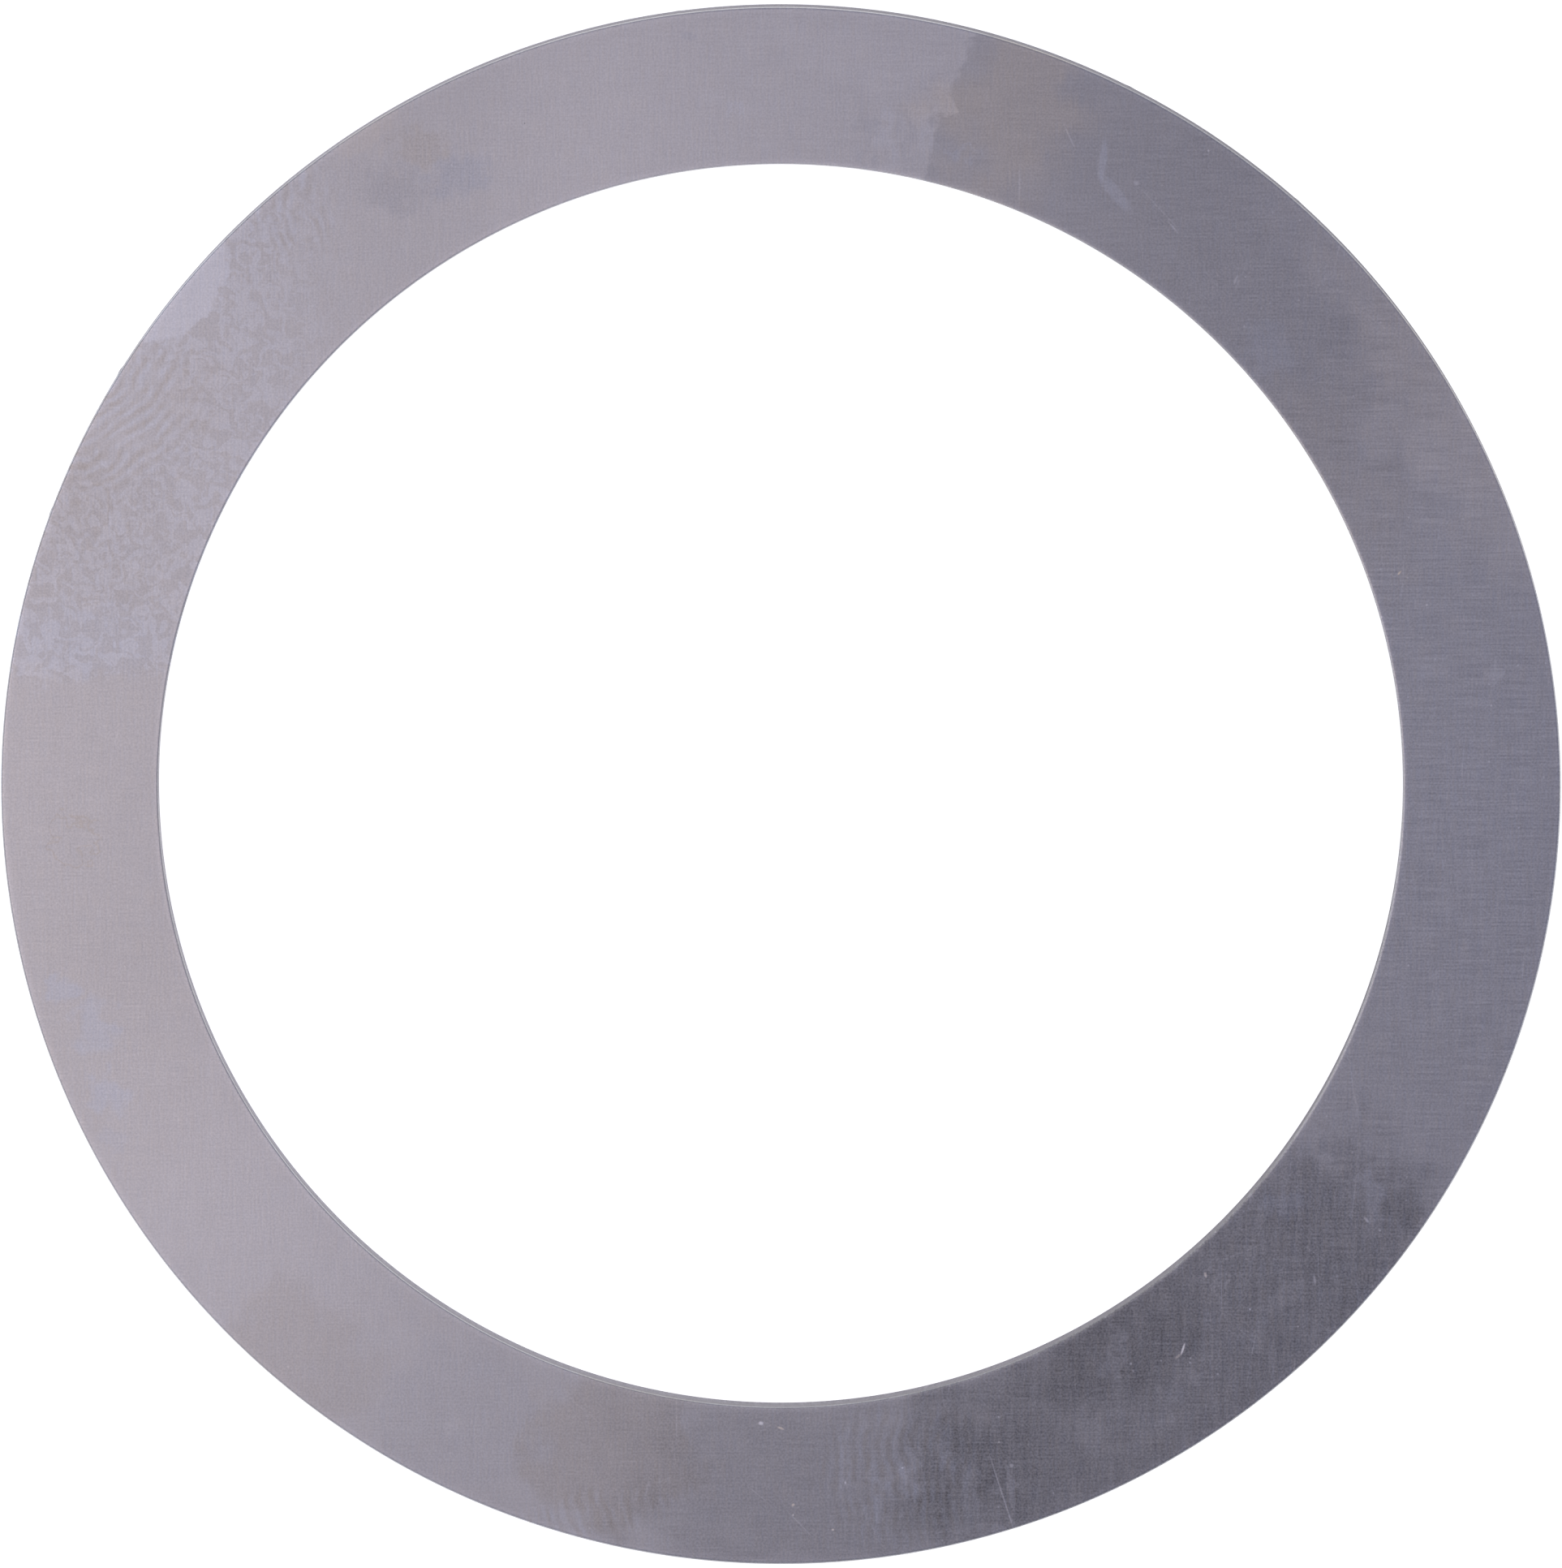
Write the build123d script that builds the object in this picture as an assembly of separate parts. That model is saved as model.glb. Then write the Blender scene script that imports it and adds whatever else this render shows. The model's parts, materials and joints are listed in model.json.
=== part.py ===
from build123d import *
import os

# A plain flat ring punched from thick steel strip. It slides over a shaft, carries an end load on its
# two flat faces, and drops into a housing bore. All sizes are in millimetres.
# The origin is the centre of the under face. The ring's axis is +Z.

SHAFT_D = 50.0      # the shaft that the ring goes over
BORE_PLAY = 0.10    # how much wider the bore is than the shaft
HOUSING_D = 63.0    # the housing bore that the ring drops into
RIM_PLAY = 0.20     # how much smaller the rim is than the housing bore
THICKNESS = 3.0

PUNCH_ROLL = 0.07   # rounding of both upper edges, where the punch drew the strip down
BURR_BREAK = 0.05   # small flat left on both lower edges where the burr was taken off

BORE_R = (SHAFT_D + BORE_PLAY) / 2
RIM_R = (HOUSING_D - RIM_PLAY) / 2


def blank():
    """The flat ring as it leaves the strip, with sharp edges."""
    return extrude(Circle(RIM_R) - Circle(BORE_R), THICKNESS)


def ease_edges(ring):
    """Rounds the two upper edges, and takes the burr off the two lower ones."""
    ring = fillet(ring.edges().group_by(Axis.Z)[-1], PUNCH_ROLL)
    return chamfer(ring.edges().group_by(Axis.Z)[0], BURR_BREAK)


washer = ease_edges(blank())
washer.label = "washer"

os.makedirs("parts", exist_ok=True)
export_step(washer, "parts/washer.step")
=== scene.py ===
import json
import math
import random

import bpy
from mathutils import Matrix, Vector


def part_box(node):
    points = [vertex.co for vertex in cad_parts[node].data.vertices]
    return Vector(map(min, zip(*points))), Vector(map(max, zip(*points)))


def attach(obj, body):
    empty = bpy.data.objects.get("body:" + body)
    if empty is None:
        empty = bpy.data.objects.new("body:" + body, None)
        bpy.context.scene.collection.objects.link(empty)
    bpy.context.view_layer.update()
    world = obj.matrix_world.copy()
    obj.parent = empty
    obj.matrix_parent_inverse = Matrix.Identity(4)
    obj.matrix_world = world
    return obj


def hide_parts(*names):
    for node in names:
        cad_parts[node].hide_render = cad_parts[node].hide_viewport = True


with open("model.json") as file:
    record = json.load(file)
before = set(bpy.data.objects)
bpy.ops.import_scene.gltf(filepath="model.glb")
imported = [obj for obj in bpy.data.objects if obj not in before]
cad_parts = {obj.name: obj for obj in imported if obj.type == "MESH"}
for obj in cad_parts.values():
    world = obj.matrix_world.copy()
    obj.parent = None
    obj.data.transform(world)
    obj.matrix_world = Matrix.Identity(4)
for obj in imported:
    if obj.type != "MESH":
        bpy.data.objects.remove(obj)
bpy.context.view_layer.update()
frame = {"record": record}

MM = 0.001
chance = random.Random(804)


# ---------------------------------------------------------------- sizes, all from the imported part

def mount(name):
    return next(m for m in frame["record"]["mounts"] if m["name"] == name)


ring_low, ring_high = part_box("washer")
THICKNESS = ring_high.z - ring_low.z
RIM_R = min(ring_high.x, ring_high.y, -ring_low.x, -ring_low.y)
BORE_R = mount("bore")["dims"]["r_mm"] * MM
WALL = mount("bore")["dims"]["length_mm"] * MM
EASING = THICKNESS - WALL          # the upper rounding and the lower break together
ROLL = EASING * 7 / 12             # upper rounding, where the punch drew the strip down
BREAK = EASING - ROLL              # lower break, where the burr was taken off
BURNISH = 0.38 * THICKNESS         # depth down to which the punch cut clean; below it the steel tore
TEAR = 0.020 * MM                  # how far the torn part of the wall stands back
TORN_TOP = THICKNESS - ROLL - BURNISH


# ---------------------------------------------------------------- the ring's mesh

STEPS = 1440                       # a quarter of a degree each, so that the rim shows no corners
GUARD = 0.05 * MM                  # keeps the faces' shading flat right up to the rounding

# Slivers that the die left on the rim: where round the rim in degrees, and how far they stand out in mm.
SLIVERS = [(48.4, 0.016), (63.4, 0.020), (97.6, 0.012), (148.0, 0.035), (159.4, 0.025)]
SLIVER_WIDTH = 0.20                # degrees, to where a sliver has mostly run out


def arc(centre_r, centre_z, radius, start, end, count):
    """Points of an arc in the ring's section, from start to end in degrees."""
    angles = [math.radians(start + (end - start) * i / count) for i in range(count + 1)]
    return [(centre_r + radius * math.cos(a), centre_z + radius * math.sin(a)) for a in angles]


def side(wall_r, out):
    """One cut wall of the section from top to bottom. out is 1 on the rim and -1 in the bore."""
    roll_r = wall_r - out * ROLL
    points = [(roll_r - out * GUARD, THICKNESS)]
    points += arc(roll_r, THICKNESS - ROLL, ROLL, 90, 0 if out > 0 else 180, 6)
    points += [(wall_r, THICKNESS - ROLL - BURNISH * share) for share in (0.15, 0.6, 0.97)]
    torn_r = wall_r - out * TEAR
    torn_top = TORN_TOP - BURNISH * 0.03
    points += [(torn_r, torn_top + (BREAK - torn_top) * share / 6) for share in range(7)]
    points += [(torn_r - out * BREAK, 0.0), (torn_r - out * (BREAK + GUARD), 0.0)]
    return points


def sliver(degrees):
    """How far the rim stands out at one place because of the slivers there."""
    return sum(height * MM * math.exp(-((degrees - at) / SLIVER_WIDTH) ** 2) for at, height in SLIVERS)


def turned_ring(name):
    rim = side(RIM_R, 1)
    outline = rim + side(BORE_R, -1)[::-1]
    count = len(outline)
    walled = [i < len(rim) and z < THICKNESS - ROLL / 2 for i, (r, z) in enumerate(outline)]
    rows = []
    for step in range(STEPS):
        turn = 2 * math.pi * step / STEPS
        c, s = math.cos(turn), math.sin(turn)
        stand = sliver(math.degrees(turn))
        for i, (r, z) in enumerate(outline):
            if walled[i]:
                r += stand
            rows.append((r * c, r * s, ring_low.z + z))
    faces, slots = [], []
    for step in range(STEPS):
        here, after = step * count, (step + 1) % STEPS * count
        for i in range(count):
            j = (i + 1) % count
            faces.append((here + i, here + j, after + j, after + i))
            lowest, highest = sorted((outline[i][1], outline[j][1]))
            upper = lowest > THICKNESS - ROLL * 1.01
            under = highest < BREAK * 1.01
            slots.append(0 if upper else 1 if under else 2)
    mesh = bpy.data.meshes.new(name)
    mesh.from_pydata(rows, [], faces)
    mesh.polygons.foreach_set("material_index", slots)
    mesh.shade_smooth()
    mesh.update()
    piece = bpy.data.objects.new(name, mesh)
    bpy.context.scene.collection.objects.link(piece)
    return piece


# ---------------------------------------------------------------- materials

def linear(hex_colour):
    """An sRGB hex colour as the linear colour that nodes take."""
    channels = [int(hex_colour[i:i + 2], 16) / 255 for i in (1, 3, 5)]
    return tuple(c / 12.92 if c <= 0.04045 else ((c + 0.055) / 1.055) ** 2.4 for c in channels) + (1,)


def add(tree, kind, sockets=None, **settings):
    """Adds one node, sets its own properties, and fills or links its sockets."""
    made = tree.nodes.new(kind)
    for name, value in settings.items():
        setattr(made, name, value)
    for name, value in (sockets or {}).items():
        if isinstance(value, bpy.types.NodeSocket):
            tree.links.new(value, made.inputs[name])
        else:
            made.inputs[name].default_value = value
    return made


def new_material(name):
    material = bpy.data.materials.new(name)
    material.use_nodes = True
    material.node_tree.nodes.clear()
    return material, material.node_tree


def bent(tree, place, size, sway):
    """Places pushed about by noise, so that a mark drawn on them gets an uneven edge. All in mm."""
    cloud = add(tree, "ShaderNodeTexNoise", {"Vector": place, "Scale": 1 / size, "Detail": 2.5},
                noise_dimensions="2D").outputs["Color"]
    centred = add(tree, "ShaderNodeVectorMath", {0: cloud, 1: (0.5, 0.5, 0.5)}, operation="SUBTRACT")
    return add(tree, "ShaderNodeVectorMath", {0: centred.outputs[0], 1: (sway, sway, 0), 2: place},
               operation="MULTIPLY_ADD").outputs[0]


def laid(texture, x, y, wide, high, lean):
    """Moves one texture's pattern to x, y, draws it out to its sizes in mm, and leans it by degrees."""
    texture.texture_mapping.vector_type = "TEXTURE"
    texture.texture_mapping.translation = (x, y, 0)
    texture.texture_mapping.rotation = (0, 0, math.radians(lean))
    texture.texture_mapping.scale = (wide, high, 1)
    return texture.outputs["Fac"]


def inside(tree, place, x, y, wide, high, lean, soft):
    """1 inside an ellipse and 0 outside it. Sizes are half sizes in mm, lean is in degrees."""
    ball = add(tree, "ShaderNodeTexGradient", {"Vector": place}, gradient_type="SPHERICAL")
    depth = laid(ball, x, y, wide * (1 + soft), high * (1 + soft), lean)
    return add(tree, "ShaderNodeMapRange", {"Value": depth, "From Max": 2 * soft / (1 + soft)},
               interpolation_type="SMOOTHSTEP").outputs[0]


def streaks(tree, place, long, wide, lean, detail=2.0):
    """Noise drawn out into streaks: their length and width in mm, and their lean from X in degrees."""
    noise = add(tree, "ShaderNodeTexNoise", {"Vector": place, "Scale": 1.0, "Detail": detail},
                noise_dimensions="2D")
    return laid(noise, 0, 0, long, wide, lean)


def shifted(tree, sums, share, shifts):
    """The running sums of lightness, warmth and wiping, each moved by its shift where share is 1."""
    return [total if shift == 0 else add(tree, "ShaderNodeMath", {0: share, 1: shift, 2: total},
                                         operation="MULTIPLY_ADD").outputs[0]
            for total, shift in zip(sums, shifts)]


def marked(tree, place, sums, marks):
    """Draws each mark of a table into the running sums."""
    for x, y, wide, high, lean, soft, *shifts in marks:
        sums = shifted(tree, sums, inside(tree, place, x, y, wide, high, lean, soft), shifts)
    return sums


def flat_place(tree):
    """Place on a face in millimetres, without its height."""
    spot = add(tree, "ShaderNodeTexCoord").outputs["Object"]
    return add(tree, "ShaderNodeVectorMath", {0: spot, 1: (1 / MM, 1 / MM, 0)},
               operation="MULTIPLY").outputs[0]


def scaled_sum(tree, value, amount, total):
    """total + amount * value, where value runs from 0 to 1 about its middle of 0.5."""
    centred = add(tree, "ShaderNodeMath", {0: value, 1: 0.5}, operation="SUBTRACT").outputs[0]
    return add(tree, "ShaderNodeMath", {0: centred, 1: amount, 2: total},
               operation="MULTIPLY_ADD").outputs[0]


STEEL = linear("#C0BFC2")[:3]
EDGE_SHEEN_WIDTH = 0.35        # mm of face next to each edge that is painted brighter, a painted sheen
GROOVE_DEPTH = 0.0008   # mm

# Sizes of the face's patterns in mm: length and width of a streak, or the width of one blot. Real rolling
# grain is finer than this and wouldn't show, so it is drawn coarser.
GRAIN = (1.8, 0.070)
LAY = (1.0, 0.085)
WIPES = (2.2, 0.28)
GRIT = 0.085
CLOUDS = 0.9
OIL_ISLANDS = 0.55
SPECK_CELL = 1.1
HAIRLINE = (11.0, 0.9)
HAIRLINE_GAPS = (2.5, 0.8)
HAIRLINES = ((88, 0.26), (24, 0.16), (-38, 0.16))       # their lean in degrees, and their strength


def finish_face(tree, place, sums, film, rolled, ridges, edge_start, edge_end):
    """The satin of a rolled and handled face: grain, wipe marks, hairlines and specks over its marks."""
    lightness, warmth, wiped = sums

    # The rolling grain runs along X; a weaker lay crosses it.
    grain = streaks(tree, place, *GRAIN, 0, 0.5)
    lay = streaks(tree, place, *LAY, 90, 0.5)
    wipes = streaks(tree, place, *WIPES, 88, 3.0)
    grit = add(tree, "ShaderNodeTexNoise", {"Vector": place, "Scale": 1 / GRIT, "Detail": 1.0},
               noise_dimensions="2D").outputs["Fac"]
    clouds = add(tree, "ShaderNodeTexNoise", {"Vector": place, "Scale": 1 / CLOUDS, "Detail": 2.0,
                                              "Roughness": 0.65}, noise_dimensions="2D").outputs["Fac"]
    keen = add(tree, "ShaderNodeMath", {0: wiped, 1: 0.155, 2: 0.100}, operation="MULTIPLY_ADD").outputs[0]
    across = add(tree, "ShaderNodeMapRange", {"Value": wiped, "From Min": 0.30, "From Max": 1.10,
                                              "To Min": 0.015, "To Max": 0.08}).outputs[0]
    faint = add(tree, "ShaderNodeMath", {0: keen, 1: 0.4}, operation="MULTIPLY").outputs[0]
    strong = add(tree, "ShaderNodeMath", {0: keen, 1: 2.3}, operation="MULTIPLY").outputs[0]
    smeared = add(tree, "ShaderNodeMapRange", {"Value": wiped, "From Min": 0.45, "From Max": 1.20,
                                               "To Min": 0.05, "To Max": 0.42}).outputs[0]
    grained = add(tree, "ShaderNodeMath", {0: keen, 1: 0.8, 2: rolled}, operation="MULTIPLY_ADD").outputs[0]
    lightness = scaled_sum(tree, grain, grained, lightness)
    lightness = scaled_sum(tree, lay, across, lightness)
    lightness = scaled_sum(tree, grit, strong, lightness)
    lightness = scaled_sum(tree, wipes, smeared, lightness)
    lightness = scaled_sum(tree, clouds, faint, lightness)
    warmth = scaled_sum(tree, lay, faint, warmth)

    # Skin oil dries in small worm-shaped islands, lighter and bluer than the steel between them.
    worms = add(tree, "ShaderNodeTexNoise", {"Vector": place, "Scale": 1 / OIL_ISLANDS, "Detail": 2.0,
                                             "Distortion": 1.0}, noise_dimensions="2D").outputs["Fac"]
    island = add(tree, "ShaderNodeMapRange", {"Value": worms, "From Min": 0.42, "From Max": 0.58},
                 interpolation_type="SMOOTHSTEP").outputs[0]
    oil_light = add(tree, "ShaderNodeMath", {0: film, 1: 0.095}, operation="MULTIPLY").outputs[0]
    lightness = scaled_sum(tree, island, oil_light, lightness)
    oil_cool = add(tree, "ShaderNodeMath", {0: film, 1: -0.030}, operation="MULTIPLY").outputs[0]
    warmth = add(tree, "ShaderNodeMath", {0: island, 1: oil_cool, 2: warmth},
                 operation="MULTIPLY_ADD").outputs[0]
    lightness = add(tree, "ShaderNodeMath", {0: ridges, 1: lightness}, operation="ADD").outputs[0]
    warmth = add(tree, "ShaderNodeMath", {0: ridges, 1: -0.5, 2: warmth},
                 operation="MULTIPLY_ADD").outputs[0]

    # Both edges are painted brighter over the last third of a millimetre: a painted sheen where the rounded
    # edge catches the light.
    from_axis = add(tree, "ShaderNodeVectorMath", {0: flat_place(tree)},
                    operation="LENGTH").outputs["Value"]
    for edge_r, inward in ((RIM_R / MM, -1), (BORE_R / MM, 1)):
        # rubbed holds this painted sheen, not wear.
        rubbed = add(tree, "ShaderNodeMapRange", {
            "Value": from_axis,
            "From Min": edge_r + inward * EDGE_SHEEN_WIDTH,
            "From Max": edge_r + inward * ROLL / MM / 2,
            "To Max": 0.09,
        }, interpolation_type="SMOOTHERSTEP").outputs[0]
        lightness = add(tree, "ShaderNodeMath", {0: lightness, 1: rubbed}, operation="ADD").outputs[0]

    # Hairlines: thin level lines of drawn-out noise, let through only here and there.
    for lean, strength in HAIRLINES:
        field = streaks(tree, place, *HAIRLINE, lean, 0.0)
        off = add(tree, "ShaderNodeMath", {0: field, 1: 0.5}, operation="SUBTRACT").outputs[0]
        off = add(tree, "ShaderNodeMath", {0: off}, operation="ABSOLUTE").outputs[0]
        line = add(tree, "ShaderNodeMapRange", {"Value": off, "From Min": 0.014, "From Max": 0.0}).outputs[0]
        let = streaks(tree, place, *HAIRLINE_GAPS, lean + 3, 1.0)
        let = add(tree, "ShaderNodeMapRange", {"Value": let, "From Min": 0.60, "From Max": 0.72,
                                               "To Max": strength}).outputs[0]
        line = add(tree, "ShaderNodeMath", {0: line, 1: let}, operation="MULTIPLY").outputs[0]
        lightness = add(tree, "ShaderNodeMath", {0: line, 1: wiped, 2: lightness},
                        operation="MULTIPLY_ADD").outputs[0]

    # Specks: one bright pit of about 0.08 mm in every fifth cell of the pattern.
    cells = add(tree, "ShaderNodeTexVoronoi", {"Vector": place, "Scale": 1 / SPECK_CELL},
                voronoi_dimensions="2D")
    speck = add(tree, "ShaderNodeMapRange", {"Value": cells.outputs["Distance"], "From Min": 0.05,
                                             "From Max": 0.02}).outputs[0]
    pick = add(tree, "ShaderNodeSeparateXYZ", {0: cells.outputs["Color"]}).outputs[0]
    pick = add(tree, "ShaderNodeMapRange", {"Value": pick, "From Min": 0.80, "From Max": 0.95,
                                            "To Max": 0.50}).outputs[0]
    speck = add(tree, "ShaderNodeMath", {0: speck, 1: pick}, operation="MULTIPLY").outputs[0]
    lightness = add(tree, "ShaderNodeMath", {0: speck, 1: wiped, 2: lightness},
                    operation="MULTIPLY_ADD").outputs[0]

    tint = add(tree, "ShaderNodeVectorMath", {0: warmth, 1: (0.6, 0.0, -1.0), 2: (1, 1, 1)},
               operation="MULTIPLY_ADD").outputs[0]
    tint = add(tree, "ShaderNodeVectorMath", {0: tint, 1: STEEL}, operation="MULTIPLY").outputs[0]
    # The punch stretched and scuffed the rounded edge, so it is duller than the flat of the face.
    spot = add(tree, "ShaderNodeTexCoord").outputs["Object"]
    spot = add(tree, "ShaderNodeSeparateXYZ", {0: spot})
    flat = add(tree, "ShaderNodeMapRange", {"Value": spot.outputs[2], "From Min": ring_low.z + edge_end,
                                            "From Max": ring_low.z + edge_start}).outputs[0]
    # The edges are also painted darker towards +X: painted shade, as the light falls from -X.
    dullest_with_shade = add(tree, "ShaderNodeMath", {0: spot.outputs[0], 1: -0.006 / MM, 2: 0.62},
                  operation="MULTIPLY_ADD").outputs[0]
    dull = add(tree, "ShaderNodeMapRange", {"Value": flat, "To Min": dullest_with_shade, "To Max": 1.0}).outputs[0]
    share = add(tree, "ShaderNodeMath", {0: lightness, 1: 1.0}, operation="ADD").outputs[0]
    share = add(tree, "ShaderNodeMath", {0: share, 1: dull}, operation="MULTIPLY").outputs[0]
    colour = add(tree, "ShaderNodeVectorMath", {0: tint, "Scale": share}, operation="SCALE").outputs[0]

    # Wiping scuffs the satin a little, and grease evens it out.
    rough = add(tree, "ShaderNodeMath", {0: film, 1: -0.006, 2: 0.36}, operation="MULTIPLY_ADD").outputs[0]
    rough = scaled_sum(tree, grain, 0.05, rough)
    grooves = add(tree, "ShaderNodeMath", {0: grain, 1: lay}, operation="ADD").outputs[0]
    relief = add(tree, "ShaderNodeBump", {"Height": grooves, "Strength": 1.0, "Distance": GROOVE_DEPTH * MM})
    shader = add(tree, "ShaderNodeBsdfPrincipled", {
        "Base Color": colour,
        "Metallic": 1.0,
        "Roughness": rough,
        "Normal": relief.outputs[0],
    })
    add(tree, "ShaderNodeOutputMaterial", {"Surface": shader.outputs[0]})


# Marks on the upper face. Each row: x, y, half width, half height in mm, lean in degrees, softness of
# the edge, then how much lighter, how much warmer, and how much more wiped the steel is there.
# The lighter and darker tones of these areas are partly stains and wipes and partly painted reflection of
# the room.
UPPER_AREAS = [
    (28.0, 2.0, 17.0, 34.0, 0, 0.50, 0.00, 0.000, 0.40),      # the whole right side has seen more wiping
    (28.0, 5.5, 5.5, 10.0, 0, 0.60, 0.05, -0.010, 0.00),
    (26.6, 15.3, 2.2, 7.0, 30, 0.60, 0.15, 0.045, 0.00),
    (22.4, 12.4, 2.0, 4.0, 30, 0.60, 0.00, 0.030, 0.00),
    (28.0, -5.0, 5.5, 8.0, 0, 0.60, 0.01, -0.010, 0.15),
    (18.5, 21.3, 8.5, 5.0, -45, 0.50, -0.09, -0.005, 0.00),
    (21.8, 22.0, 3.5, 1.4, -45, 0.60, 0.05, 0.000, 0.00),
    (9.4, 27.6, 2.6, 4.5, -12, 0.40, 0.05, 0.065, 0.10),     # brownish, right of the top edge
    (16.0, -23.2, 11.6, 6.2, 34, 0.26, -0.335, -0.010, 0.55),  # the dark stretch, much wiped; its dark tone is a painted dark reflection
    (13.2, -22.6, 3.5, 1.9, 30, 0.50, -0.12, 0.000, 0.00),
    (3.0, 29.9, 4.0, 1.5, -6, 0.50, 0.05, 0.000, 0.00),
    (2.0, -28.3, 7.5, 4.5, 0, 0.50, -0.20, -0.010, 0.30),
    (-22.5, -17.0, 8.5, 5.0, -53, 0.60, 0.06, 0.000, 0.00),
    (-28.0, 1.5, 6.0, 12.0, 0, 0.60, -0.055, 0.008, 0.00),
    (-28.2, 10.0, 3.5, 4.5, 0, 0.60, -0.030, 0.000, 0.00),
    (-26.5, -11.0, 5.0, 6.0, -60, 0.60, -0.030, 0.010, 0.00),
    (-19.6, -23.2, 3.0, 3.2, -40, 0.35, -0.06, 0.025, 0.10),  # brown, lower left
    (-13.0, -25.6, 3.6, 3.2, -25, 0.14, -0.03, -0.010, 0.10),  # bluish next to it
    (-6.6, -26.6, 3.4, 3.2, -10, 0.20, -0.08, 0.035, 0.15),
]
UPPER_MARKS = [
    (-14.4, 25.7, 1.0, 0.80, 10, 0.40, -0.055, 0.035, 0.1),   # two brown drops and the blue around them
    (-15.6, 24.0, 1.3, 0.90, 0, 0.45, -0.075, -0.015, 0.1),
    (-13.0, 24.6, 1.2, 0.80, 30, 0.45, -0.060, -0.045, 0.1),
    (-17.3, 24.4, 0.9, 1.10, 0, 0.45, -0.020, 0.000, 0.1),
    (-16.6, 26.4, 1.4, 0.80, 30, 0.50, 0.030, 0.035, 0.0),
    (-1.8, 27.2, 0.35, 0.20, 20, 0.40, 0.040, -0.020, 0.0),
    (3.5, 26.0, 0.25, 1.20, 4, 0.45, -0.050, -0.010, 0.0),
    (4.3, 26.3, 0.30, 1.10, -3, 0.45, 0.050, -0.015, 0.0),
    (5.1, 26.2, 0.25, 1.30, 3, 0.45, -0.050, -0.010, 0.0),
    (5.9, 26.7, 0.30, 0.90, -4, 0.45, 0.045, -0.015, 0.0),
    (7.3, 25.5, 0.90, 0.14, -20, 0.50, 0.050, -0.030, 0.0),
    (19.6, 17.6, 1.10, 0.70, -50, 0.50, 0.040, -0.030, 0.0),
    (20.2, -17.0, 1.00, 0.40, 10, 0.50, 0.080, -0.030, 0.0),
    (23.9, -16.6, 0.40, 1.00, 25, 0.60, 0.080, -0.020, 0.0),
    (22.6, -14.8, 1.30, 0.60, -40, 0.35, -0.110, 0.000, 0.1),
    (25.3, -16.9, 0.80, 0.80, -20, 0.40, -0.110, 0.000, 0.1),
    (2.6, -27.0, 0.30, 1.10, 0, 0.50, 0.080, -0.020, 0.0),
    (3.9, -28.8, 0.22, 1.50, 2, 0.50, 0.090, -0.020, 0.0),
    (5.2, -27.6, 0.30, 1.30, -2, 0.50, 0.100, -0.020, 0.0),
    (6.5, -26.6, 0.25, 0.90, 0, 0.50, 0.080, -0.020, 0.0),
    (7.6, -28.8, 0.50, 1.40, 0, 0.50, 0.120, -0.010, 0.0),    # wipe streaks in the dark stretch
    (9.1, -28.6, 0.20, 1.60, 0, 0.50, 0.130, -0.010, 0.0),
    (12.6, -25.8, 0.60, 1.20, -20, 0.50, 0.060, 0.000, 0.0),
    (13.5, -23.0, 0.35, 1.20, -5, 0.50, 0.130, -0.010, 0.0),
    (15.8, -24.6, 0.30, 1.40, -12, 0.50, 0.070, 0.000, 0.0),
    (17.7, -20.2, 0.12, 1.70, 0, 0.50, 0.110, 0.000, 0.0),
    (20.3, -20.5, 0.30, 0.90, -30, 0.50, 0.080, 0.000, 0.0),
    (-29.0, -8.2, 0.55, 0.60, 0, 0.45, 0.025, -0.060, 0.0),   # bluish smudges, lower left
    (-27.6, -9.7, 0.70, 1.10, 10, 0.45, 0.025, -0.060, 0.0),
    (-27.1, -12.4, 0.80, 0.70, 15, 0.45, 0.025, -0.060, 0.0),
    (-26.8, -14.3, 0.40, 0.60, 10, 0.45, 0.000, -0.030, 0.0),
    (-28.5, -2.15, 1.05, 0.95, 0, 0.05, -0.060, 0.050, 0.0),  # a dried water drop: brown line, clean middle
    (-28.5, -2.15, 0.93, 0.83, 0, 0.06, 0.060, -0.050, 0.0),
    (-28.0, 5.9, 3.4, 1.30, 0, 0.40, 0.015, -0.030, 0.0),      # smeared blue just above the greasy edge
    (-28.6, 12.0, 1.8, 2.20, 0, 0.40, -0.030, 0.015, 0.0),
    (-23.5, 15.8, 1.5, 1.70, 0, 0.40, -0.025, 0.015, 0.0),
]
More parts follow.
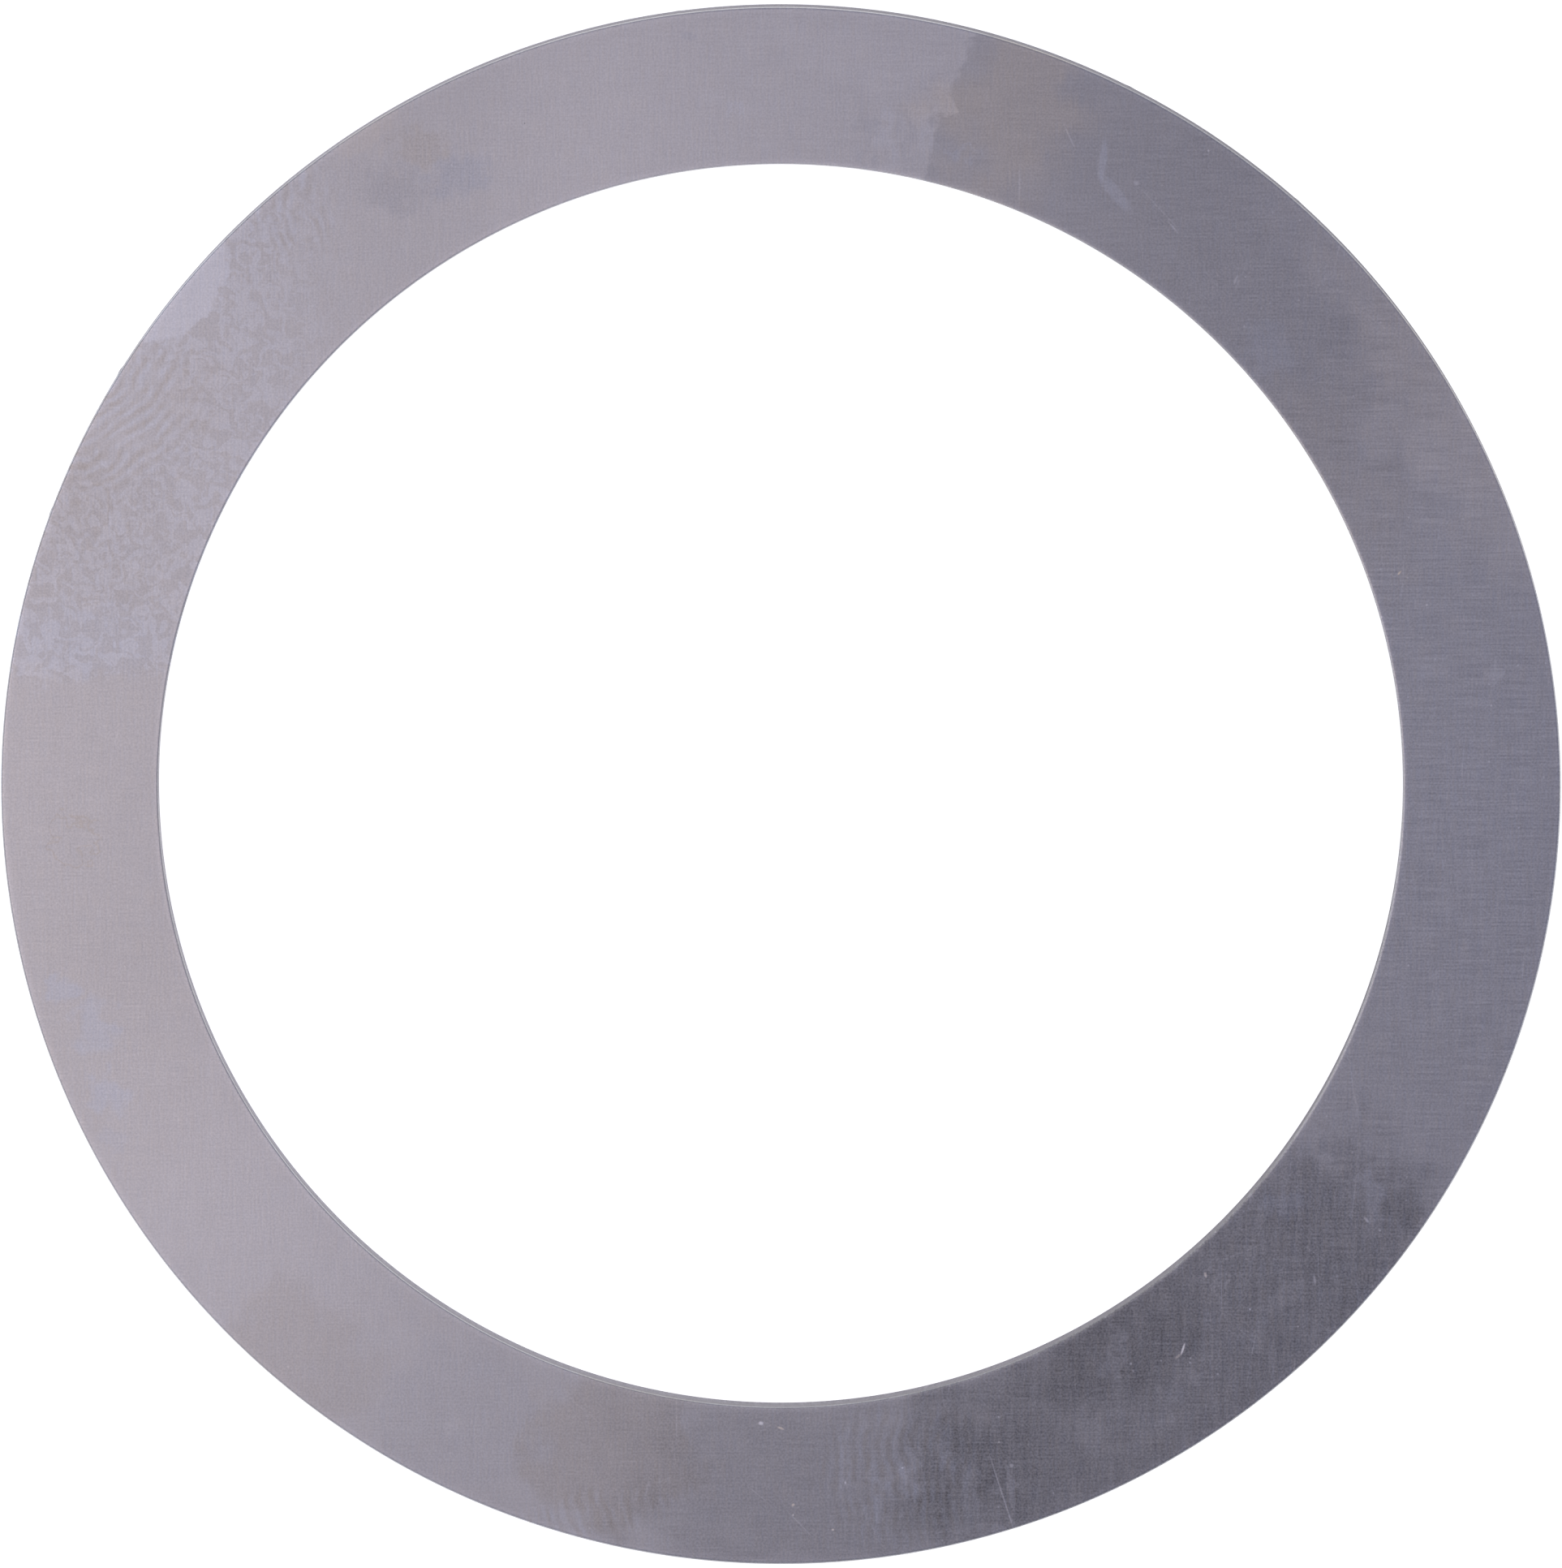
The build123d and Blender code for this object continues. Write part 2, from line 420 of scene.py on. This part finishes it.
# Single scratches, flecks and pits, which are straight.
UPPER_SCRATCHES = [
    (11.6, 26.2, 0.030, 0.50, 25, 0.6, 0.20, 0.0, 0.0),
    (9.6, 24.3, 0.035, 0.65, 0, 0.6, 0.14, 0.0, 0.0),
    (15.3, 23.2, 0.030, 1.10, 43, 0.6, 0.13, 0.0, 0.0),
    (12.95, 25.2, 0.16, 0.80, -6, 0.4, 0.14, -0.035, 0.0),    # a small smear shaped like a V
    (13.45, 23.9, 0.24, 0.90, 40, 0.4, 0.12, -0.030, 0.0),
    (14.3, 24.3, 0.10, 0.08, 0, 0.6, 0.25, 0.0, 0.0),
    (15.8, 22.5, 0.035, 0.26, 40, 0.6, 0.25, 0.0, 0.0),
    (18.3, 20.4, 0.040, 0.18, -25, 0.6, 0.25, 0.0, 0.0),
    (17.2, 25.6, 0.04, 0.05, 0, 0.6, 0.40, 0.0, 0.0),
    (24.9, 8.6, 0.10, 0.035, 50, 0.6, 0.60, 0.20, 0.0),
    (26.0, 7.3, 0.04, 0.04, 0, 0.6, 0.45, 0.03, 0.0),
    (8.9, -28.5, 0.030, 1.60, 18, 0.6, 0.35, 0.0, 0.0),
    (17.1, -19.7, 0.05, 0.10, 20, 0.6, 0.70, 0.12, 0.0),
    (16.2, -22.7, 0.04, 0.22, -18, 0.5, 1.30, 0.05, 0.0),
    (16.0, -23.0, 0.05, 0.14, -50, 0.6, 0.45, 0.10, 0.0),
    (18.9, -21.1, 0.035, 0.04, 30, 0.6, 0.70, -0.05, 0.0),
    (14.1, -23.3, 0.04, 0.05, 0, 0.6, 0.50, -0.03, 0.0),
    (14.2, -23.6, 0.03, 0.07, 30, 0.6, 0.40, 0.0, 0.0),
    (21.5, -19.9, 0.05, 0.16, 5, 0.6, 0.40, 0.0, 0.0),
    (23.6, -17.5, 0.05, 0.14, 40, 0.6, 0.45, 0.0, 0.0),
    (9.3, -27.4, 0.07, 0.07, 0, 0.6, 0.50, 0.0, 0.0),
    (-0.8, -25.7, 0.09, 0.07, 0, 0.6, 0.80, 0.0, 0.0),
    (0.0, -25.9, 0.13, 0.04, -20, 0.6, 0.55, 0.15, 0.0),
    (0.5, -29.0, 0.06, 0.05, 40, 0.6, 0.60, 0.15, 0.0),
    (0.5, -29.4, 0.03, 0.04, 0, 0.6, 0.60, 0.05, 0.0),
    (2.1, -30.0, 0.05, 0.04, 0, 0.6, 0.60, 0.12, 0.0),
    (2.6, -28.1, 0.04, 0.05, 0, 0.6, 0.60, 0.0, 0.0),
    (4.9, -27.5, 0.04, 0.04, 0, 0.6, 0.50, 0.0, 0.0),
    (0.7, -29.7, 0.60, 0.025, -46, 0.6, 0.18, 0.0, 0.0),
    (-0.9, -28.6, 0.55, 0.020, -40, 0.6, 0.14, 0.0, 0.0),
    (-4.2, -25.5, 0.030, 0.80, 0, 0.6, 0.12, 0.0, 0.0),
    (-10.3, 26.7, 0.022, 0.020, 0, 0.6, -0.70, 0.0, 0.0),
    (-3.7, 30.2, 0.30, 0.17, -10, 0.3, -0.06, -0.02, 0.0),
]
# Fingerprints: centre of the rings in mm, then the patch that shows: x, y, half sizes, lean, strength,
# and how much the ridges waver.
UPPER_PRINTS = [
    (-31.2, 20.3, -26.8, 14.8, 3.4, 2.6, 35, 0.165, 1.2),
    (-11.0, 24.6, -19.7, 23.2, 1.9, 1.8, 60, 0.110, 1.2),
    (-44.0, 2.0, -27.5, 10.5, 2.6, 3.0, 0, 0.045, 3.5),
    (60.0, -27.0, 4.8, -27.8, 3.0, 2.8, 0, 0.130, 1.0),
    (30.0, -22.0, -7.6, -29.3, 4.0, 0.8, 14, 0.130, 3.0),
]
RIDGE = 0.47            # mm from one ridge of a fingerprint to the next
RING_PERIOD = 0.314     # the wave texture's own ring spacing at scale 1


def printed(tree, place, prints):
    """The sum of the fingerprints' ridges, about zero."""
    total = 0.0
    for ring_x, ring_y, x, y, wide, high, lean, strength, waver in prints:
        rings = add(tree, "ShaderNodeTexWave", {"Vector": place, "Scale": RING_PERIOD / RIDGE,
                                                "Distortion": waver, "Detail": 2.0, "Detail Scale": 0.7},
                    wave_type="RINGS", rings_direction="SPHERICAL")
        wave = laid(rings, ring_x, ring_y, 1, 1, 0)
        shown = inside(tree, place, x, y, wide, high, lean, 0.5)
        shown = add(tree, "ShaderNodeMath", {0: shown, 1: strength}, operation="MULTIPLY").outputs[0]
        total = scaled_sum(tree, wave, shown, total)
    # A finger never prints evenly: the ridges come and go in patches about a millimetre across.
    patchy = add(tree, "ShaderNodeTexNoise", {"Vector": place, "Scale": 1 / 0.7, "Detail": 1.0},
                 noise_dimensions="2D").outputs["Fac"]
    patchy = add(tree, "ShaderNodeMapRange", {"Value": patchy, "From Min": 0.36, "From Max": 0.60,
                                              "To Min": 0.15}).outputs[0]
    return add(tree, "ShaderNodeMath", {0: total, 1: patchy}, operation="MULTIPLY").outputs[0]


def upper_face_steel():
    """Cold-rolled steel as the strip came: a satin mid grey, handled, wiped and finger-marked."""
    material, tree = new_material("cold_rolled_steel_handled")
    place = flat_place(tree)
    uneven = bent(tree, place, 2.2, 5.0)
    ragged = bent(tree, place, 0.8, 2.0)
    barely = bent(tree, place, 2.0, 1.0)
    sums = [0.0, 0.0, 0.15]

    # Two straight-edged areas: one held by greasy fingers on the left, one cleaner stretch at the top.
    edges = add(tree, "ShaderNodeSeparateXYZ", {0: bent(tree, place, 1.3, 2.4)})
    above = add(tree, "ShaderNodeMapRange", {"Value": edges.outputs[1], "From Min": 4.0, "From Max": 4.5},
                interpolation_type="SMOOTHSTEP").outputs[0]
    leftward = add(tree, "ShaderNodeMapRange", {"Value": edges.outputs[0], "From Min": -16.5,
                                                "From Max": -21.5},
                   interpolation_type="SMOOTHSTEP").outputs[0]
    greasy = add(tree, "ShaderNodeMath", {0: above, 1: leftward}, operation="MULTIPLY").outputs[0]
    clean = inside(tree, bent(tree, place, 0.45, 0.8), -24.2, 20.1, 2.5, 1.5, 50, 0.06)
    kept = add(tree, "ShaderNodeMath", {0: 1.0, 1: clean}, operation="SUBTRACT").outputs[0]
    film = add(tree, "ShaderNodeMath", {0: greasy, 1: kept}, operation="MULTIPLY").outputs[0]
    # Where the finger pressed hardest, its ridges show instead of the islands.
    pressed = inside(tree, barely, -26.9, 14.7, 2.9, 2.4, 35, 0.50)
    pressed = add(tree, "ShaderNodeMapRange", {"Value": pressed, "To Min": 1.0, "To Max": 0.3}).outputs[0]
    film = add(tree, "ShaderNodeMath", {0: film, 1: pressed}, operation="MULTIPLY").outputs[0]
    sums = shifted(tree, sums, clean, (0.150, -0.040, 0.0))
    sums = shifted(tree, sums, greasy, (0.0, -0.005, 0.05))
    slanted = add(tree, "ShaderNodeMath", {0: edges.outputs[1], 1: -0.33, 2: edges.outputs[0]},
                 operation="MULTIPLY_ADD").outputs[0]
    left_of = add(tree, "ShaderNodeMapRange", {"Value": slanted, "From Min": -2.20, "From Max": -2.55},
                  interpolation_type="SMOOTHSTEP").outputs[0]
    right_of = add(tree, "ShaderNodeMapRange", {"Value": edges.outputs[0], "From Min": -16.0,
                                                "From Max": -6.0},
                   interpolation_type="SMOOTHSTEP").outputs[0]
    upward = add(tree, "ShaderNodeMath", {0: edges.outputs[1], 1: 15.0},
                 operation="GREATER_THAN").outputs[0]
    top = add(tree, "ShaderNodeMath", {0: left_of, 1: right_of}, operation="MULTIPLY").outputs[0]
    top = add(tree, "ShaderNodeMath", {0: top, 1: upward}, operation="MULTIPLY").outputs[0]
    sums = shifted(tree, sums, top, (0.175, 0.008, 0.10))

    sums = marked(tree, uneven, sums, UPPER_AREAS)
    sums = marked(tree, ragged, sums, UPPER_MARKS)
    sums = marked(tree, place, sums, UPPER_SCRATCHES)
    rolled = inside(tree, uneven, 29.0, 5.0, 9.0, 15.0, 0, 0.60)
    rolled = add(tree, "ShaderNodeMath", {0: rolled, 1: 0.10}, operation="MULTIPLY").outputs[0]
    finish_face(tree, place, sums, film, rolled, printed(tree, barely, UPPER_PRINTS),
                THICKNESS, THICKNESS - ROLL * 0.7)
    return material


UNDER_SHIFT = (91.0, 47.0)      # mm, so that the under face's grain isn't the upper face's over again
UNDER_MARKS = 28


def random_marks(count):
    """Marks strewn over a face at random, for the side that lies down."""
    marks = []
    for _ in range(count):
        turn = chance.uniform(0, 2 * math.pi)
        r = chance.uniform(BORE_R, RIM_R) / MM
        marks.append((r * math.cos(turn), r * math.sin(turn), chance.uniform(0.4, 2.4),
                      chance.uniform(0.4, 2.0), chance.uniform(0, 180), chance.uniform(0.2, 0.5),
                      chance.uniform(-0.06, 0.05), chance.uniform(-0.03, 0.03), chance.uniform(0, 0.3)))
    return marks


def under_face_steel():
    """The same rolled steel on the side the ring lies on: rubbed more evenly, with fewer finger marks."""
    material, tree = new_material("cold_rolled_steel_rubbed")
    place = flat_place(tree)
    away_x, away_y = UNDER_SHIFT
    place = add(tree, "ShaderNodeVectorMath", {0: place, 1: (away_x, away_y, 0)}, operation="ADD").outputs[0]
    marks = [(x + away_x, y + away_y, *rest) for x, y, *rest in random_marks(UNDER_MARKS)]
    sums = [0.0, 0.0, 0.45]
    sums = marked(tree, bent(tree, place, 1.0, 1.0), sums, marks)
    finish_face(tree, place, sums, 0.12, 0.05, 0.0, 0.0, BREAK * 0.7)
    return material


DRAW_GAP = 0.13         # mm between the lines that the punch draws down the wall
DRAW_LENGTH = 2.5       # mm that such a line runs
WALL_GRIT = 0.16        # mm
WANDER_LENGTH = 1.4     # mm along the wall from one rise of the line between the bands to the next
BAND_WANDER = 0.9       # mm that this line may rise and fall in all
BAND_SOFT = 0.06        # mm over which one band passes into the other


def sheared_steel():
    """Walls cut by a punch: a bright rubbed band above a dull band where the steel tore."""
    material, tree = new_material("sheared_steel")
    spot = add(tree, "ShaderNodeTexCoord").outputs["Object"]
    place = add(tree, "ShaderNodeVectorMath", {0: spot, "Scale": 1 / MM}, operation="SCALE").outputs[0]

    # The punch draws fine lines down the wall.
    across = add(tree, "ShaderNodeVectorMath", {0: place, 1: (1 / DRAW_GAP, 1 / DRAW_GAP, 1 / DRAW_LENGTH)},
                 operation="MULTIPLY").outputs[0]
    drawn = add(tree, "ShaderNodeTexNoise", {"Vector": across, "Scale": 1.0, "Detail": 3.0}).outputs["Fac"]
    grit = add(tree, "ShaderNodeTexNoise", {"Vector": place, "Scale": 1 / WALL_GRIT,
                                            "Detail": 3.0}).outputs["Fac"]

    # The line between the two bands wanders up and down by a few tenths.
    level = add(tree, "ShaderNodeVectorMath", {0: place, 1: (1, 1, 0)}, operation="MULTIPLY").outputs[0]
    wander = add(tree, "ShaderNodeTexNoise", {"Vector": level, "Scale": 1 / WANDER_LENGTH,
                                              "Detail": 4.0}).outputs["Fac"]
    spread = add(tree, "ShaderNodeSeparateXYZ", {0: place})
    level_up = scaled_sum(tree, wander, BAND_WANDER, spread.outputs[2])
    clean = add(tree, "ShaderNodeMapRange", {"Value": level_up, "From Min": TORN_TOP / MM - BAND_SOFT,
                                             "From Max": TORN_TOP / MM + BAND_SOFT}).outputs[0]
    bands = add(tree, "ShaderNodeMix", {"Factor": clean, "A": linear("#9C9AA0"), "B": linear("#88868B")},
                data_type="RGBA").outputs["Result"]
    shade = scaled_sum(tree, drawn, 0.5, 1.0)
    # The walls are painted darker towards +X too: painted shade, as the light falls from -X.
    shade = add(tree, "ShaderNodeMath", {0: spread.outputs[0], 1: -0.011, 2: shade},
                operation="MULTIPLY_ADD").outputs[0]
    colour = add(tree, "ShaderNodeVectorMath", {0: bands, "Scale": shade}, operation="SCALE").outputs[0]
    rough = add(tree, "ShaderNodeMapRange", {"Value": clean, "To Min": 0.62, "To Max": 0.42}).outputs[0]
    fine = add(tree, "ShaderNodeMapRange", {"Value": clean, "To Min": 1.0, "To Max": 0.1}).outputs[0]
    relief = scaled_sum(tree, grit, fine, drawn)
    relief = add(tree, "ShaderNodeBump", {"Height": relief, "Strength": 1.0, "Distance": 0.010 * MM})
    shader = add(tree, "ShaderNodeBsdfPrincipled", {
        "Base Color": colour,
        "Metallic": 1.0,
        "Roughness": rough,
        "Specular Tint": linear("#D0CED0"),    # a torn, oily wall stays dull even when seen edge-on
        "Normal": relief.outputs[0],
    })
    add(tree, "ShaderNodeOutputMaterial", {"Surface": shader.outputs[0]})
    return material


def lit_opal_floor():
    """A pale opal sheet lit from below, so that the ring casts almost no shadow on it."""
    material, tree = new_material("lit_opal_sheet")
    shader = add(tree, "ShaderNodeBsdfPrincipled", {
        "Base Color": linear("#F4F4F6"),
        "Roughness": 0.6,
        "Emission Color": linear("#FFFFFF"),
        "Emission Strength": 0.72,
    })
    add(tree, "ShaderNodeOutputMaterial", {"Surface": shader.outputs[0]})
    return material


# ---------------------------------------------------------------- the piece

washer = turned_ring("steel_ring")
for material in (upper_face_steel(), under_face_steel(), sheared_steel()):
    washer.data.materials.append(material)
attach(washer, "root")
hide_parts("washer")


# ---------------------------------------------------------------- floor, light and camera

FLOOR_R = 4.0           # metres
FLOOR_CORNERS = 72
FLOOR_GAP = 0.02        # mm under the ring


def floor():
    mesh = bpy.data.meshes.new("floor")
    corners = [(math.cos(a) * FLOOR_R, math.sin(a) * FLOOR_R, 0)
               for a in (2 * math.pi * i / FLOOR_CORNERS for i in range(FLOOR_CORNERS))]
    mesh.from_pydata(corners, [], [tuple(range(len(corners)))])
    sheet = bpy.data.objects.new("floor", mesh)
    bpy.context.scene.collection.objects.link(sheet)
    sheet.location.z = ring_low.z - FLOOR_GAP * MM
    sheet.data.materials.append(lit_opal_floor())


def room():
    """A dim bluish ceiling over pale walls."""
    world = bpy.data.worlds.new("room")
    bpy.context.scene.world = world
    world.use_nodes = True
    tree = world.node_tree
    tree.nodes.clear()
    direction = add(tree, "ShaderNodeTexCoord").outputs["Generated"]
    height = add(tree, "ShaderNodeSeparateXYZ", {0: direction}).outputs["Z"]
    share = add(tree, "ShaderNodeMapRange", {"Value": height, "From Min": 0.45, "From Max": 0.92},
                interpolation_type="SMOOTHSTEP").outputs[0]
    colour = add(tree, "ShaderNodeMix", {"Factor": share, "A": linear("#F2F2F6"), "B": linear("#787A90")},
                 data_type="RGBA")
    background = add(tree, "ShaderNodeBackground", {"Color": colour.outputs["Result"], "Strength": 1.0})
    add(tree, "ShaderNodeOutputWorld", {"Surface": background.outputs[0]})


def softbox(name, place, size, power, colour):
    """A square soft light that hangs over a place and points straight down."""
    light = bpy.data.lights.new(name, "AREA")
    light.shape = "SQUARE"
    light.size = size
    light.energy = power
    light.color = linear(colour)[:3]
    lamp = bpy.data.objects.new(name, light)
    bpy.context.scene.collection.objects.link(lamp)
    lamp.location = place
    lamp.visible_camera = False


def camera():
    """A long lens a few degrees off the ring's axis, leaning towards +Y, which is up in the frame."""
    lens, sensor = 1200.0, 36.0
    tilt, turn = math.radians(3.3), math.radians(87.0)
    margin = 1.0059                 # the frame's width over the ring's width
    data = bpy.data.cameras.new("camera")
    data.lens, data.sensor_width = lens, sensor
    distance = 2 * RIM_R * margin * lens / sensor
    toward = Vector((math.sin(tilt) * math.cos(turn), math.sin(tilt) * math.sin(turn), math.cos(tilt)))
    eye = bpy.data.objects.new("camera", data)
    bpy.context.scene.collection.objects.link(eye)
    eye.location = (ring_low + ring_high) / 2 + toward * distance
    side_axis = Vector((0, 1, 0)).cross(toward).normalized()
    up_axis = toward.cross(side_axis)
    eye.rotation_mode = "QUATERNION"
    eye.rotation_quaternion = Matrix((side_axis, up_axis, toward)).transposed().to_quaternion()
    data.clip_start, data.clip_end = 0.1, 10.0
    bpy.context.scene.camera = eye


floor()
room()
softbox("key", place=(-0.062, -0.010, 0.25), size=0.08, power=0.046, colour="#FFF2EF")
camera()
bpy.context.scene.view_settings.view_transform = "Standard"
